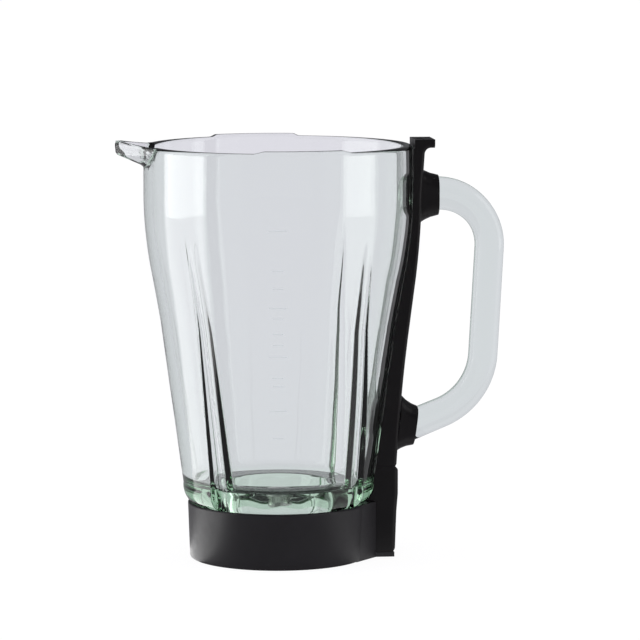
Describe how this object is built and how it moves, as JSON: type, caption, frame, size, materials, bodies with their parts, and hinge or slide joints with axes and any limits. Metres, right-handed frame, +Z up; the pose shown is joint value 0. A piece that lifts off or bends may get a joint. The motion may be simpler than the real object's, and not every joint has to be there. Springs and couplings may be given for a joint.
{
  "type": "blender jug",
  "caption": "Clear glass blender jug with spout, glass handle, black spine with lid interlock rod, and black collar that holds a turn-out blade carrier; sits on a motor base.",
  "frame": {"origin": "on the jug's axis in the plane the collar stands on, at the mouth of the motor base socket", "axes": "+Z up along the jug, +X towards the handle, spout along -X"},
  "size_m": [0.2139, 0.1468, 0.2298],
  "materials": {
    "clear_glass": "clear pressed glass, faintly green where thick",
    "spine_plastic": "black satin moulded plastic",
    "collar_plastic": "black satin moulded plastic",
    "inner_plastic": "dark grey moulded plastic",
    "screw_steel": "zinc-plated",
    "blade_steel": "stainless steel, ground",
    "bush_bronze": "sintered bronze",
    "seal_rubber": "soft elastomer",
    "rod_steel": "drawn steel"
  },
  "bodies": {
    "jug": {"glass_jug": "clear_glass", "spine_near_cover": "spine_plastic", "spine_far_cover": "spine_plastic", "spine_heel": "spine_plastic", "collar_shell": "collar_plastic", "neck_clamp": "inner_plastic", "bayonet_ring": "inner_plastic", "spine_screws": "screw_steel", "foot_screws": "screw_steel", "collar_screws": "screw_steel", "neck_gasket": "seal_rubber", "spine_pads": "seal_rubber", "upper_handle_bush": "seal_rubber", "lower_handle_bush": "seal_rubber"},
    "carrier": {"blade_carrier": "inner_plastic", "carrier_seal": "seal_rubber", "bearing_housing": "blade_steel", "lower_bush": "bush_bronze", "upper_bush": "bush_bronze", "shaft_seal": "seal_rubber"},
    "cutter": {"blade_shaft": "blade_steel", "thrust_washer": "blade_steel", "lower_blade": "blade_steel", "blade_spacer": "blade_steel", "upper_blade": "blade_steel", "cap_nut": "blade_steel", "drive_coupling": "inner_plastic", "coupling_clip": "screw_steel"},
    "interlock": {"interlock_button": "inner_plastic", "push_strip": "rod_steel", "interlock_pin": "rod_steel", "interlock_spring": "rod_steel"}
  },
  "joints": [
    {"name": "carrier_turn", "type": "hinge", "parent": "jug", "child": "carrier", "pos_m": [0, 0, 0.016], "axis": [0, 0, 1], "range_deg": [0, 45]},
    {"name": "cutter_spin", "type": "hinge", "parent": "carrier", "child": "cutter", "pos_m": [0, 0, 0.0225], "axis": [0, 0, 1], "continuous": true},
    {"name": "interlock_press", "type": "slide", "parent": "jug", "child": "interlock", "axis": [0, 0, -1], "range_m": [0, 0.0025], "stiffness_N_per_m": 300, "springref_m": -0.004, "deforming": ["interlock_spring"]}
  ]
}
